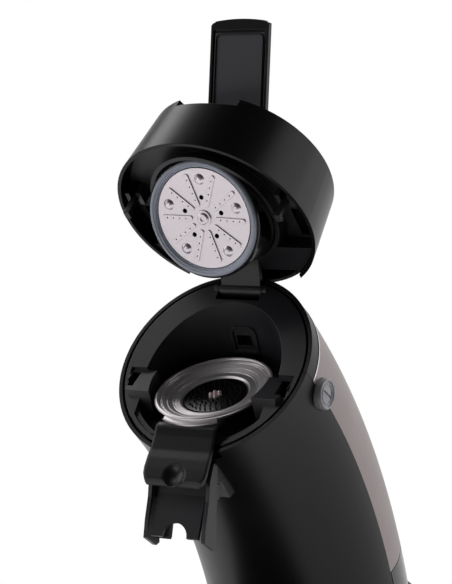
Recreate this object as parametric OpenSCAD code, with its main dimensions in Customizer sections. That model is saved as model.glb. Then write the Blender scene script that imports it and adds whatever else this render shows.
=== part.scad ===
// Pod coffee machine with a curved column, a tilting lid and a lift-out pod holder.
// Z is up and -Y is the front. The lid is drawn open and its lever raised.

/* [Column] */
// Radius of the column's round section
column_r = 68.1; // [66:0.1:71]
// Radius of the arc that the column's centre line follows
spine_r = 388; // [370:1:420]
// Forward tilt of the head's rim, in degrees
rim_tilt = 28.4; // [27:0.1:29]
// Height of the rim's centre above the table
rim_z = 258; // [250:1:275]
// Place of the column's centre line where it stands upright
spine_y = 61.865; // [55:0.1:70]
// Wall of the column's shells
shell_wall = 2.6; // [2:0.1:3.2]
// Gap between neighbouring shells
seam_gap = 0.4; // [0.3:0.05:0.6]
// Arc length from the rim to the trim strip
collar_len = 10.6; // [9:0.1:12]
// Width of the trim strip
trim_w = 1.2; // [0.8:0.1:1.6]

/* [Foot] */
// Radius of the foot's rounded ends
foot_r = 79; // [78:0.5:84]
// Distance from the column to the drip tray's centre
tray_reach = 126; // [120:1:134]
// Height of the foot's top above the table
foot_top = 24; // [22:0.5:28]
// Edge radius of the foot
foot_edge = 6; // [4:0.5:8]
// Wall of the foot's shell
foot_wall = 3; // [2.4:0.1:3.6]
// Height of a rubber foot
pad_h = 3; // [2:0.1:4]

/* [Drip tray] */
// Radius of the drip tray
tray_r = 70; // [66:0.5:74]
// Height of the drip tray
tray_h = 30; // [24:0.5:34]
// Wall of the drip tray
tray_wall = 2.4; // [2:0.1:3]
// Depth of the seat that the tray stands in
tray_seat = 8; // [6:0.5:10]
// Thickness of the cup grid
grid_t = 2; // [1.6:0.1:2.6]
// Spacing of the cup grid's slots
grid_pitch = 9; // [8:0.1:12]
// Width of a slot in the cup grid
grid_slot = 4; // [3:0.1:5]

/* [Brew head] */
// Distance from the rim's centre forward to the pod's axis
pod_y = 7.2; // [7:0.1:8.6]
// Radius of the bowl around the pod holder
bowl_r = 49; // [49:0.1:51]
// Wall of the bowl
bowl_wall = 2.4; // [2:0.1:2.8]
// Depth of the bowl's floor below the rim's centre
bowl_depth = 29; // [28.5:0.1:31]
// Radius of the head plate inside the dark ring
plate_r = 63.9; // [63:0.1:64.2]
// Thickness of the head plate
plate_t = 2.6; // [2:0.1:3.2]

/* [Pod holder] */
// Radius of the pod holder's rolled bead
holder_r = 39; // [38:0.1:40]
// Depth of the bead's top below the rim's centre
holder_drop = 12.7; // [12.4:0.1:13.2]
// Thickness of the pressed steel
steel_t = 1; // [0.8:0.1:1.2]
// Radius of the strainer
strainer_r = 20.8; // [18:0.1:21]
// Height of a strainer peg
peg_h = 1.4; // [1:0.1:1.8]
// Spacing of the strainer pegs
peg_pitch = 3.5; // [3.2:0.1:4.5]
// Half of the handle's width at its front
grip_half = 22.6; // [21:0.1:23.5]
// Thickness of the handle
grip_t = 4.4; // [3.6:0.1:5]

/* [Lid] */
// How far the lid stands open, in degrees
lid_open = 99.3; // [96:0.1:101]
// Height of the lid's lower edge above the rim
lid_gap = 4.5; // [4.3:0.1:5.5]
// Height of the lid's side wall
lid_h = 48; // [42:0.1:52]
// How much the lid narrows from its lower edge to its top
lid_taper = 4.4; // [3.8:0.1:5]
// Rise of the domed top
dome_h = 12.2; // [10:0.1:15.5]
// Wall of the lid
lid_wall = 2.4; // [2:0.1:2.8]
// Distance of the lid's hinge pin behind the rim's centre
hinge_y = 53.3; // [53:0.1:53.6]
// Height of the lid's hinge pin above the rim's centre
hinge_z = 25.4; // [25.2:0.1:25.8]
// Radius of the lid's hinge pin
hinge_pin_r = 2; // [1.8:0.1:2.2]
// Running clearance of a pin in its bore
pin_fit = 0.08; // [0.06:0.01:0.09]

/* [Water head] */
// Depth of the distribution disc below the rim's centre
disc_drop = 8.8; // [8:0.1:9.6]
// Radius of the distribution disc
disc_r = 33.4; // [33:0.1:35]
// Outer radius of the sealing ring
seal_r = 38.6; // [37:0.1:40]
// Outer radius of the seal's cup
cup_r = 40.4; // [39:0.1:42]
// Number of ribbed arms' pairs in the disc
disc_arms = 5; // [3:1:6]

/* [Lever] */
// Half of the lever's width
lever_half = 21.6; // [21:0.1:23.5]
// Length of the lever from its pin
lever_len = 73.5; // [65:0.5:80]
// Lever's turn from raised to locked, in degrees
lever_turn = 74; // [71:0.5:75]
// Thickness of the lever's plate
lever_t = 2.4; // [2:0.1:3]
// Radius of the lever's pin
lever_pin_r = 1.6; // [1.4:0.1:1.8]

/* [Buttons] */
// Radius of the power button
power_r = 9.5; // [8:0.1:10.5]
// Radius of a cup button
cup_button_r = 7; // [6:0.1:8]
// Angle between neighbouring buttons
button_step = 23; // [21:0.5:25]
// Height of the buttons' row above the table
button_z = 74; // [68:0.5:78]

/* [Tank] */
// Wall of the water tank
tank_wall = 2.4; // [2:0.1:3]
// Gap between the tank and what surrounds it
tank_gap = 0.5; // [0.4:0.05:0.8]

/* [Boiler] */
// Radius of the boiler
boiler_r = 40; // [36:0.5:44]
// Height of the boiler's shell
boiler_h = 72; // [64:1:76]

/* [Hidden] */
$fn = 96;
fit = 0.3;
// the spine arc's centre, and the rim's centre
arc_y = spine_y - spine_r;
arc_z = rim_z - spine_r * sin(rim_tilt);
rim_y = arc_y + spine_r * cos(rim_tilt);
// angles along the spine
deg_per_mm = 180 / (PI * spine_r);
collar_a = rim_tilt - collar_len * deg_per_mm;
trim_a = collar_a - trim_w * deg_per_mm;
cover_a = trim_a - seam_gap * deg_per_mm;
foot_a = -asin((arc_z - foot_top) / spine_r);
seam_r = spine_r - 2.2;
column_in = column_r - shell_wall;
// foot
tray_y = spine_y - tray_reach;
back_y = spine_y - 5;
pod_at = rim_y - pod_y;
// lid, measured square to the rim
lid_top = lid_gap + lid_h;
lid_top_r = column_r - lid_taper;
dome_r = (pow(lid_top_r, 2) + pow(dome_h, 2)) / (2 * dome_h);
floor_h = lid_gap + 2.6;
seal_drop = holder_drop - disc_drop - fit;
// the lid's inner floor steps deeper in front of this line
step_u = 30;
step_h = 10;
floor_t = 2.2;
hinge_u = hinge_y * cos(rim_tilt) + hinge_z * sin(rim_tilt);
hinge_h = hinge_z * cos(rim_tilt) - hinge_y * sin(rim_tilt);
hinge_half = 15.6;
ear_t = 3.4;
arm_a = 144.5;
cutout_half = 42;
barrel_r = 4.6;
// lever's pin, measured square to the rim
lever_u = -25.8;
lever_pin_h = lid_top + dome_h - 5.8;
lever_rise = 4.9;
lever_lock_a = -25.1;
// latch hooks
hook_x = 55.7;
hook_w = 4;
hook_u = -15;
hook_pin_h = 20;
catch_u = [-21.5, -8.6];
// base
panel_in = column_r - 1.8;
panel_out = column_r + 2;
panel_a = 37;
panel_h = 25;
shelf_z = arc_z + 3;
tank_top = arc_z - 0.6;
tank_floor = foot_top + tank_gap;
socket_z = foot_top + 12;
socket_r = 6;
pump_y = spine_y - 34;
pump_z = foot_top + 17.5;
hose_x = 38;
hose_bend = 8;
hose_top = shelf_z + 22;
cup_top_h = lid_gap + 22.5;
tray_back = column_r + 5;
hook_foot = 6.8;
window_half = 10;
window_z = [-15.4, 5];
wedge_side = [[-4.5, -4.6], [-25, -7.9]];
boiler_a = 8.2;
board_r = 44.5;
tray_floor = foot_top - tray_seat;
grid_leg_x = 46;

// ---------- frames and shared shapes ----------

// local Y points away from the arc's centre and Z runs up the spine
module at_spine(a) {
    translate([0, arc_y, arc_z]) rotate([a, 0, 0]) translate([0, spine_r, 0]) children();
}

// the rim's own frame: Z square to the rim, Y up the slope to the back
module in_rim() {
    at_spine(rim_tilt) children();
}

// the rim's centre, upright
module at_rim() {
    translate([0, rim_y, rim_z]) children();
}

// everything on the lid, drawn closed and swung open on the hinge pin
module lid_open_pose() {
    at_rim() translate([0, hinge_y, hinge_z]) rotate([-lid_open, 0, 0])
        translate([0, -hinge_y, -hinge_z]) children();
}

module lid_in_rim() {
    lid_open_pose() rotate([rim_tilt, 0, 0]) children();
}

// sweeps a section along the spine; section X is the distance from the arc's centre
module sweep(a0, a1) {
    translate([0, arc_y, arc_z]) rotate([90, 0, 90]) rotate([0, 0, a0])
        rotate_extrude(angle = a1 - a0, $fn = 360) children();
}

module ring_section(r_out, r_in) {
    difference() {
        translate([spine_r, 0]) circle(r_out);
        translate([spine_r, 0]) circle(r_in);
    }
}

module front_half(r_out, r_in) {
    intersection() {
        ring_section(r_out, r_in);
        translate([seam_r - 200, -100]) square([200, 200]);
    }
}

module rear_half(r_out, r_in) {
    intersection() {
        ring_section(r_out, r_in);
        translate([seam_r + seam_gap, -100]) square([200, 200]);
    }
}

// everything lower than a height
module below(z) {
    translate([-100, -200, z - 200]) cube([200, 500, 200]);
}

// upright round bar along X
module x_bar(r, half) {
    rotate([0, 90, 0]) cylinder(r = r, h = 2 * half, center = true);
}

// extrudes a side profile [y, z] to both sides of the centre plane
module side_profile(points, half) {
    rotate([90, 0, 90]) linear_extrude(2 * half, center = true) polygon(points);
}

// a foot-shaped slab with rounded upper edges
module foot_form(r, z0, z1, edge) {
    run = back_y - tray_y;
    for (y = [tray_y, back_y])
        translate([0, y, 0]) rotate_extrude() foot_profile(r, z0, z1, edge);
    translate([0, back_y, 0]) rotate([90, 0, 0]) linear_extrude(run) {
        foot_profile(r, z0, z1, edge);
        mirror([1, 0]) foot_profile(r, z0, z1, edge);
    }
}

module foot_profile(r, z0, z1, edge) {
    translate([0, z0]) square([r, z1 - z0 - edge]);
    translate([0, z0]) square([r - edge, z1 - z0]);
    intersection() {
        translate([r - edge, z1 - edge]) circle(edge);
        translate([0, z0]) square([r, z1 - z0]);
    }
}

// ---------- foot ----------

module foot_shell() {
    color([0.11, 0.11, 0.12]) difference() {
        foot_form(foot_r, pad_h + 1, foot_top, foot_edge);
        difference() {
            foot_form(foot_r - foot_wall, pad_h, foot_top - foot_wall, foot_edge - 2);
            translate([0, tray_y, 0]) linear_extrude(foot_top) tray_outline(-foot_wall - fit);
            for (p = foot_spots) translate([p[0], p[1], plate_top]) cylinder(r = 6, h = foot_top);
        }
        translate([0, tray_y, tray_floor]) linear_extrude(50) tray_outline(-fit);
        translate([0, tray_y, 0]) linear_extrude(tray_floor - foot_wall) difference() {
            tray_outline(foot_wall);
            for (x = [-1, 1]) translate([x * pad_x, -pad_x + 12]) circle(9);
        }
        for (p = foot_spots) translate([p[0], p[1], 0]) cylinder(r = 1.3, h = foot_top - 6);
        translate([0, back_y + foot_r, inlet_z]) rotate([90, 0, 0])
            cylinder(r = 5.3, h = 30, center = true);
        translate([0, spine_y - 34, foot_top - 5]) cylinder(r = 5, h = 10);
    }
}

foot_spots = [for (x = [-1, 1], y = [-42, 44]) [x * 54, back_y + y]];
plate_top = pad_h + 3;
inlet_z = (pad_h + foot_top) / 2 - 0.5;
pad_x = 50;

// plan of the drip tray: a disc hollowed out round the column
module tray_outline(inset) {
    difference() {
        circle(tray_r - inset);
        translate([0, tray_reach - 3]) circle(tray_back + inset);
    }
}

module base_plate() {
    color([0.16, 0.16, 0.17]) difference() {
        intersection() {
            foot_form(foot_r - foot_wall - fit, 0, 22, 2);
            translate([-100, back_y - 60, pad_h + 1]) cube([200, 200, plate_top - pad_h - 1]);
        }
        for (p = foot_spots) translate([p[0], p[1], 0]) cylinder(r = 1.5, h = 20);
        translate([0, tray_y, 0]) linear_extrude(20) tray_outline(-foot_wall - 2 * fit);
    }
}

module rubber_feet() {
    color([0.08, 0.08, 0.08])
        for (x = [-1, 1], y = [tray_y - pad_x + 12, back_y + 30])
            translate([x * pad_x, y, 0]) rotate_extrude()
                polygon([[0, 0], [7.4, 0], [8, 0.6], [8, pad_h + 1], [0, pad_h + 1]]);
}

module base_screws() {
    color([0.6, 0.6, 0.62])
        for (p = foot_spots) translate([p[0], p[1], pad_h + 1]) {
            difference() {
                translate([0, 0, -1.8]) cylinder(r = 2.8, h = 1.8);
                translate([0, 0, -1.9]) cylinder(r = 1.4, h = 1.2, $fn = 6);
            }
            cylinder(r = 1.2, h = 9);
        }
}

module cord_inlet() {
    color([0.07, 0.07, 0.07])
        translate([0, back_y + foot_r - 6, inlet_z]) rotate([-90, 0, 0]) difference() {
            union() {
                cylinder(r = 5, h = 6);
                translate([0, 0, 6 - foot_wall - 2 - 2 * fit]) cylinder(r = 5.8, h = 2);
            }
            translate([0, 0, -1]) cylinder(r = 3.2, h = 9);
        }
}

// ---------- column ----------

module front_shell() {
    color([0.12, 0.12, 0.13]) difference() {
        sweep(foot_a - 2, rim_tilt) front_half(column_r, column_in);
        below(foot_top);
        handle_notch();
        cap_seat();
        panel_window(0.2);
        spout_opening();
    }
}

// shallow cut in the rim under the pod holder's handle
module handle_notch() {
    in_rim() handle_notch_box();
}

module handle_notch_box() {
    translate([-grip_half - 2.6, -column_r - 5, -6.5]) cube([2 * grip_half + 5.2, 24, 20]);
}

module cap_seat() {
    for (s = [-1, 1]) translate([s * 60, cap_y, cap_z]) rotate([0, s * 90, 0]) {
        translate([0, 0, 6.4]) cylinder(r = 10.4, h = 20);
        cylinder(r = 4.2, h = 20);
    }
}

cap_y = rim_y + 10.4;
cap_z = rim_z - 24;

module panel_sector(r_out, r_in, a, h) {
    translate([0, spine_y, button_z - h / 2]) rotate([0, 0, -90 - a])
        rotate_extrude(angle = 2 * a) translate([r_in, 0]) square([r_out - r_in, h]);
}

module panel_window(gap) {
    panel_sector(column_r + 9, column_in - 9, panel_a + gap, panel_h + 2 * gap);
}

module spout_opening() {
    at_rim() translate([-12.4, -90, -52.4]) cube([24.8, 60, 12.8]);
}

module rear_cover() {
    color([0.56, 0.53, 0.52]) difference() {
        sweep(0, cover_a) rear_half(column_r, column_in);
        cap_seat();
    }
}

module collar_band() {
    color([0.3, 0.28, 0.28]) difference() {
        sweep(collar_a, rim_tilt) rear_half(column_r, column_in);
        hinge_clearance();
    }
}

module trim_strip() {
    color([0.8, 0.8, 0.82]) difference() {
        sweep(trim_a, collar_a) rear_half(column_r + 0.35, column_in + 0.4);
        hinge_clearance();
    }
}

// room behind the head plate for the swinging hinge arm
module hinge_clearance() {
    w_ear = hinge_half + ear_t + 1;
    w_arm = hinge_half + 0.5;
    in_rim() translate([-w_ear, hinge_u - 12, -9]) cube([2 * w_ear, 15.4, 20]);
    in_rim() translate([-w_arm, hinge_u - 12, -9]) cube([2 * w_arm, 12 + barrel_r + 0.4, 20]);
}

module side_caps() {
    color([0.5, 0.53, 0.56, 0.8])
        for (s = [-1, 1]) translate([s * 60, cap_y, cap_z]) rotate([0, s * 90, 0]) difference() {
            union() {
                translate([0, 0, 1]) cylinder(r = 3.9, h = 6);
                translate([0, 0, 6.4]) rotate_extrude()
                    polygon([[0, 0], [10, 0], [10, 4.2], [9.2, 5], [0, 5.6]]);
            }
            rotate([0, 0, 35]) translate([-8, -0.7, 11]) cube([16, 1.4, 3]);
        }
}

// ---------- brew head ----------

module rim_ring() {
    color([0.04, 0.04, 0.04]) in_rim() translate([0, 0, -skirt_h]) difference() {
        cylinder(r = column_in - 0.3, h = 2);
        translate([0, 0, -1]) cylinder(r = plate_r, h = 4);
        translate([0, 0, skirt_h]) handle_notch_box();
        translate([-hinge_half - ear_t - 1, 30, -7]) cube([2 * (hinge_half + ear_t + 1), 60, 20]);
    }
}

skirt_h = 9.2;

module brew_head() {
    floor_z = rim_z - bowl_depth;
    color([0.12, 0.12, 0.13]) difference() {
        union() {
            in_rim() translate([0, 0, -plate_t]) cylinder(r = plate_r, h = plate_t);
            in_rim() translate([0, 0, -skirt_h]) cylinder(r = plate_r, h = skirt_h);
        }
        in_rim() translate([0, 0, -skirt_h - 1]) cylinder(r = plate_r - 2.2, h = skirt_h + 1 - plate_t);
        translate([0, pod_at, floor_z]) cylinder(r = bowl_r + 1, h = 90);
        front_pocket(1);
        above_blocks();
        handle_notch();
        for (s = [-1, 1]) in_rim() catch_slot(s);
        hinge_slot();
    }
    color([0.12, 0.12, 0.13]) difference() {
        union() {
            below_rim() {
                translate([0, pod_at, floor_z - bowl_wall]) cylinder(r = bowl_r + bowl_wall, h = 60);
                translate([0, 0, -bowl_wall]) front_pocket(bowl_wall);
                water_port();
            }
            hinge_ears();
        }
        intersection() {
            union() {
                translate([0, pod_at, floor_z]) cylinder(r = bowl_r, h = 90);
                front_pocket(0);
            }
            in_rim() translate([0, 0, -100]) cylinder(r = plate_r - 6.4, h = 200);
        }
        intersection() {
            front_pocket(0);
            in_rim() translate([0, 0, -2.4]) cylinder(r = plate_r - 3, h = 20);
        }
        above_blocks();
        handle_notch();
        for (s = [-1, 1]) in_rim() catch_slot(s);
        hinge_slot();
        bowl_window();
        translate([0, pod_at, 0]) cylinder(r = 7, h = rim_z);
    }
    color([0.12, 0.12, 0.13]) {
        holder_seat();
        window_frame();
        side_blocks();
    }
}

// the plate is open at the back where the hinge's barrel and arm swing
module hinge_slot() {
    in_rim() translate([-hinge_half - 0.5, hinge_u - 9.5, -20]) cube([2 * hinge_half + 1, 26, 30]);
    in_rim() translate([0, hinge_u, hinge_h]) x_bar(hinge_pin_r, hinge_half + ear_t + 5);
}

// block behind the window, fed by the hot hose
module water_port() {
    at_rim() translate([-10, bowl_r - pod_y + 0.6, -12]) cube([20, 12, 18]);
}

// keeps what lies under the head plate's top
module below_rim() {
    intersection() {
        children();
        in_rim() translate([0, 0, -100]) cylinder(r = plate_r - 0.2, h = 100);
    }
}

// the bowl opens forward into a shallow pocket beside the handle
module front_pocket(grow) {
    at_rim() translate([-46 - grow, -90, -27]) cube([92 + 2 * grow, 74 + grow, 60]);
}

// slot in the plate where a latch hook drops in
module catch_slot(s) {
    translate([s * hook_x - hook_w / 2 - 1.1, catch_u[0], -30])
        cube([hook_w + 2.2, catch_u[1] - catch_u[0], 40]);
}

module hinge_ears() {
    in_rim() for (s = [-1, 1]) intersection() {
        translate([s * (hinge_half + 0.5 + ear_t / 2) - ear_t / 2, hinge_u - 9.5, hinge_h - 6])
            cube([ear_t, 12.5, 11]);
        translate([0, hinge_u, hinge_h]) union() {
            x_bar(4.4, 40);
            translate([-40, -9.5, -6]) cube([80, 12, 6]);
        }
    }
}

// rounded window with a raised frame in the bowl's back wall
module bowl_window() {
    at_rim() translate([0, bowl_r - pod_y - 6, -5.8]) rotate([-90, 0, 0])
        linear_extrude(14) square([11, 7.6], center = true);
}

// raised frame round the window, with rounded upper corners
module window_frame() {
    at_rim() translate([0, bowl_r - pod_y + 1.6, 0]) rotate([90, 0, 0]) difference() {
        linear_extrude(3.4) window_outline(window_half, window_z);
        translate([0, 0, 2.2]) linear_extrude(3) window_outline(window_half - 2.4, window_z + [2.4, -2.4]);
        translate([0, -5.8, -1]) linear_extrude(6) square([11, 7.6], center = true);
    }
}

module window_outline(half, z) {
    r = half * 0.5;
    translate([-half, z[0]]) square([2 * half, z[1] - z[0] - r]);
    translate([r - half, z[0]]) square([2 * half - 2 * r, z[1] - z[0]]);
    for (s = [-1, 1]) translate([s * (half - r), z[1] - r]) circle(r);
}

// blocks beside the handle: upright in front, flatter on top than the rim's slope
module side_blocks() {
    difference() {
        intersection() {
            at_rim() side_profile(concat(wedge_side, [[wedge_side[1][0], -27.5], [wedge_side[0][0], -27.5]]), 62);
            in_rim() cylinder(r = plate_r - 2.8, h = 120, center = true);
        }
        translate([0, pod_at, 0]) cylinder(r = cup_r + 1.4, h = rim_z + 90);
        for (s = [-1, 1]) {
            in_rim() translate([s * (hook_x + 4) - 8.5, -26, -60]) cube([17, 25, 60 - plate_t]);
            in_rim() catch_slot(s);
        }
    }
}

// what is cut from the head's plate above the blocks
module above_blocks() {
    intersection() {
        at_rim() side_profile(concat(wedge_side, [[wedge_side[1][0], 30], [wedge_side[0][0], 30]]), 62);
        in_rim() cylinder(r = plate_r - 3, h = 120, center = true);
    }
}

// ring that carries the pod holder's bowl
module holder_seat() {
    translate([0, pod_at, rim_z - bowl_depth]) difference() {
        cylinder(r = 28, h = bowl_depth - holder_drop - 6.2 - fit);
        translate([0, 0, -1]) cylinder(r = 25.6, h = 20);
        for (a = [0, 120, 240]) rotate([0, 0, a + 90]) translate([20, -5, 2]) cube([12, 10, 8]);
    }
}

module coffee_channel() {
    top = -bowl_depth - bowl_wall;
    color([0.1, 0.1, 0.1]) difference() {
        at_rim() side_profile([
            [-pod_y + 12, top], [-pod_y - 20, top], [-40, -39.8], [-57.4, -43.5],
            [-57.4, -50], [-38, -49], [-pod_y + 12, -42]], 11);
        at_rim() side_profile([
            [-pod_y + 10, top + 1], [-pod_y - 18, top + 1], [-38, -41.8], [-60, -45.6],
            [-60, -48], [-37.5, -47], [-pod_y + 10, -40]], 9);
    }
}

module spout_bracket() {
    color([0.13, 0.13, 0.14]) at_rim() difference() {
        for (s = [-1, 1]) translate([s * 15.6, 0, 0]) side_profile([
            [-54, -39.6], [-56.7, -39.6], [-61.3, -51.4], [-52, -53], [-47, -70], [-40, -70], [-44, -50]], 3.6);
        column_core();
    }
}

// the column's volume, seen from the rim's centre
module column_core() {
    translate([0, -rim_y, -rim_z]) sweep(-9, rim_tilt) translate([spine_r, 0]) circle(column_r + 0.05);
}

// ---------- spout ----------

spout_side = [[-60, -36.5], [-56.5, -40], [-62, -52.5], [-70, -66], [-79.5, -86.5], [-83.5, -86],
    [-91, -75.5], [-84.5, -66], [-75.3, -55], [-68.5, -44]];
spout_panel = [[-64.5, -47.5], [-66, -49], [-70.5, -54.5], [-81, -64.5], [-90, -73.8], [-88.6, -75.6],
    [-79.6, -66.4], [-69.1, -56.4], [-62, -50.4]];

module spout() {
    color([0.16, 0.16, 0.17]) at_rim() difference() {
        union() {
            for (s = [-1, 1]) translate([s * 21.2, 0, 0]) side_profile(spout_side, 1.4);
            difference() {
                side_profile(spout_panel, 17.6);
                translate([0, -86, -77]) rotate([50, 0, 0]) cylinder(r = 9, h = 40, center = true);
            }
            difference() {
                side_profile([[-66, -49], [-60.5, -39.5], [-57, -39.5], [-62, -52.4]], 20);
                side_profile([[-70, -43.5], [-50, -43.5], [-50, -50.4], [-70, -50.4]], 11.2);
            }
            side_profile([[-66, -51], [-62, -52.6], [-55, -54], [-54, -61], [-61, -62.5], [-71, -58]], 20);
        }
        nozzle_axes() translate([0, 0, -40]) cylinder(r = 4.2, h = 40);
    }
}

module nozzle_axes() {
    for (s = [-1, 1]) translate([s * 15.4, -60.5, -60]) rotate([-37, 0, 0]) children();
}

module spout_nozzles() {
    color([0.07, 0.07, 0.07]) at_rim() nozzle_axes() difference() {
        union() {
            translate([0, 0, -28.5]) cylinder(r = 4.2, h = 28.5);
            translate([0, 0, -30]) cylinder(r1 = 3.7, r2 = 4.2, h = 1.5);
        }
        translate([0, 0, -31]) cylinder(r = 2.9, h = 29);
    }
}

// ---------- pod holder ----------

module holder_profile() {
    r = holder_r;
    pts = [[r - 1.4, -1.2], [r - 3, -3.2], [r - 4.6, -2.5], [r - 11.6, -5.2], [23.2, -5.4],
        [21.8, -6.4], [21.4, -9], [9, -11], [5.6, -12], [5.2, -20]];
    n = len(pts);
    polygon(concat(pts, [for (i = [n - 1:-1:0]) pts[i] + [steel_t * 0.9, -steel_t * (i > 7 ? 0.2 : 0.8)]]));
    translate([r - 1.1, -1.3]) circle(1.3);
}

module pod_holder() {
    color([0.78, 0.76, 0.75]) translate([0, pod_at, rim_z - holder_drop]) {
        rotate_extrude() difference() {
            holder_profile();
            translate([-50, -60]) square([50, 70]);
        }
        rotate([0, 0, -90 - 30]) rotate_extrude(angle = 60)
            polygon([[holder_r - 2.4, -2], [holder_r + 0.6, -4.2], [holder_r + 1.4, -4.2],
                [holder_r + 1.4, -5.2], [holder_r + 0.2, -5.2], [holder_r - 2.4, -3.2]]);
    }
}

grip_side = [[-43.5, -17.9], [-47.9, -17.9], [-52.2, -22.4], [-59.8, -28.8], [-64.4, -31.4],
    [-69.8, -35.3], [-76, -40.1]];

module holder_handle() {
    n = len(grip_side);
    under = [for (i = [n - 1:-1:0]) grip_side[i] + [-grip_t * 0.3, -grip_t * 0.95]];
    color([0.14, 0.14, 0.15]) difference() {
        intersection() {
            at_rim() side_profile(concat(grip_side, under), grip_half + 1);
            translate([0, rim_y, rim_z - 80]) linear_extrude(90) polygon([
                [-grip_half + 1.2, -40], [-grip_half + 0.6, -50], [-grip_half - 0.4, -70],
                [-grip_half, -73.4], [-grip_half + 1.6, -76.2], [-grip_half + 5, -78.4], [-9, -81.2],
                [0, -82.2], [9, -81.2], [grip_half - 5, -78.4], [grip_half - 1.6, -76.2],
                [grip_half, -73.4], [grip_half + 0.4, -70], [grip_half - 0.6, -50],
                [grip_half - 1.2, -40]]);
        }
        at_rim() translate([0, -79.3, -31.2]) sphere(12);
        translate([0, pod_at, 0]) cylinder(r = holder_r - 2, h = rim_z + 50);
    }
}

strainer_drop = 9.1;
strainer_t = 3.1;

module strainer() {
    rings = floor((strainer_r - 2) / peg_pitch);
    color([0.06, 0.06, 0.06]) translate([0, pod_at, rim_z - holder_drop - strainer_drop]) {
        difference() {
            cylinder(r = strainer_r, h = strainer_t);
            translate([0, 0, -1]) cylinder(r = strainer_r - 1.6, h = strainer_t - 0.6);
        }
        for (k = [2:rings]) for (i = [0:6 * k - 1]) rotate([0, 0, 60 * i / k + 7 * k])
            translate([k * peg_pitch, 0, strainer_t - 0.1]) cylinder(r = 0.6, h = peg_h, $fn = 6);
    }
}

module strainer_studs() {
    color([0.72, 0.6, 0.6]) translate([0, pod_at, rim_z - holder_drop - strainer_drop + strainer_t])
        for (i = [0:6]) rotate([0, 0, 60 * i]) translate([i == 6 ? 0 : 3.3, 0, 0])
            rotate_extrude() intersection() {
                translate([0, 0.2]) circle(1.5);
                square([2, 3]);
            }
}

// ---------- lid ----------

module lid_profile(inset) {
    r0 = column_r - inset;
    r1 = lid_top_r - inset;
    polygon([[0, lid_gap], [r0, lid_gap], [r1, lid_top], [0, lid_top]]);
    intersection() {
        translate([0, lid_top + dome_h - dome_r]) circle(dome_r - inset);
        translate([0, lid_top - 1]) square([r1, dome_h + 2]);
    }
}

module lid_shell() {
    color([0.1, 0.1, 0.11]) lid_in_rim() difference() {
        union() {
            difference() {
                rotate_extrude() lid_profile(0);
                rotate_extrude() lid_profile(lid_wall);
                translate([0, 0, lid_gap - 1]) cylinder(r = column_r - lid_wall, h = 2);
            }
            intersection() {
                rotate_extrude() lid_profile(0);
                lever_recess(2);
            }
        }
        rear_cutout();
        lever_recess(0);
        translate([0, lever_u, lever_pin_h]) x_bar(lever_pin_r, lever_half + 2);
    }
}

// the low rear wall is open so that the lid can swing behind the head
module rear_cutout() {
    translate([-cutout_half, 0, 0]) cube([2 * cutout_half, 100, lid_gap + 6.5]);
}

// channel for the lowered lever and the drum-shaped pocket round its pin
module lever_recess(grow) {
    half = lever_half + 0.6 + grow;
    lever_frame(lever_lock_a) translate([-half, 0, lever_rise - 1.4 - grow]) cube([2 * half, 80, 30]);
    translate([0, lever_u, lever_pin_h]) x_bar(10.6 + grow, half);
}

// the lever's frame: origin on its pin, Y along the lever towards its tip, Z off its upper face
module lever_frame(a) {
    translate([0, lever_u, lever_pin_h]) rotate([0, 0, 180]) rotate([a, 0, 0]) children();
}

module lid_frame() {
    color([0.2, 0.2, 0.21]) lid_in_rim() difference() {
        union() {
            intersection() {
                union() {
                    lid_floor();
                    cup_collar();
                    for (s = [-1, 1]) translate([s * hook_x - 6, hook_u - 5, floor_h]) cube([12, 10, 16]);
                }
                rotate_extrude() lid_profile(lid_wall + fit);
            }
            hinge_arm();
        }
        intersection() {
            upright_in_lid() translate([0, 0, -60]) cylinder(r = cup_r + 0.3, h = 120);
            translate([0, 0, cup_top_h - 200]) cube([200, 200, 400], center = true);
        }
        difference() {
            translate([-cutout_half - 0.5, hinge_u - 10, 0]) cube([2 * cutout_half + 1, 60, 40]);
            hinge_arm();
        }
        for (s = [-1, 1]) {
            translate([s * hook_x - 2.6, hook_u - 6, 0]) cube([5.2, 12, 60]);
            translate([s * hook_x, hook_u, hook_pin_h]) x_bar(1.5 + pin_fit, 7);
            side_pocket(s);
        }
        translate([0, hinge_u, hinge_h]) x_bar(hinge_pin_r + pin_fit, 40);
    }
}

// floor of the lid, deeper in front of the step than by the hinge
module lid_floor() {
    w = 2 * column_r;
    intersection() {
        translate([0, 0, floor_h]) cylinder(r = column_r, h = floor_t);
        translate([-column_r, step_u - floor_t, 0]) cube([w, w, w]);
    }
    intersection() {
        translate([0, 0, floor_h + step_h]) cylinder(r = column_r, h = floor_t);
        translate([-column_r, step_u - w, 0]) cube([w, w, w]);
    }
    translate([-column_r, step_u - floor_t, floor_h]) cube([w, floor_t, step_h + floor_t]);
}

// sleeve and roof that hold the seal's cup
module cup_collar() {
    intersection() {
        upright_in_lid() translate([0, 0, -20]) cylinder(r = cup_r + 3, h = 100);
        translate([-100, -100, floor_h]) cube([200, 200, cup_top_h + 2.2 - floor_h]);
    }
}

// upright frame on the pod's axis, inside the lid
module upright_in_lid() {
    rotate([-rim_tilt, 0, 0]) translate([0, -pod_y, -disc_drop]) children();
}

module side_pocket(s) {
    translate([s > 0 ? 49 : -60, 2, 0]) cube([11, 24, floor_h + 30]);
}

module hinge_arm() {
    intersection() {
        translate([0, hinge_u, hinge_h]) union() {
            x_bar(barrel_r, hinge_half);
            rotate([arm_a - 180, 0, 0]) translate([1 - hinge_half, -26, -2.8])
                cube([2 * hinge_half - 2, 26, 3.8]);
        }
        translate([-50, 0, -10]) cube([100, 100, 10 + floor_h + floor_t]);
    }
}

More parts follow.
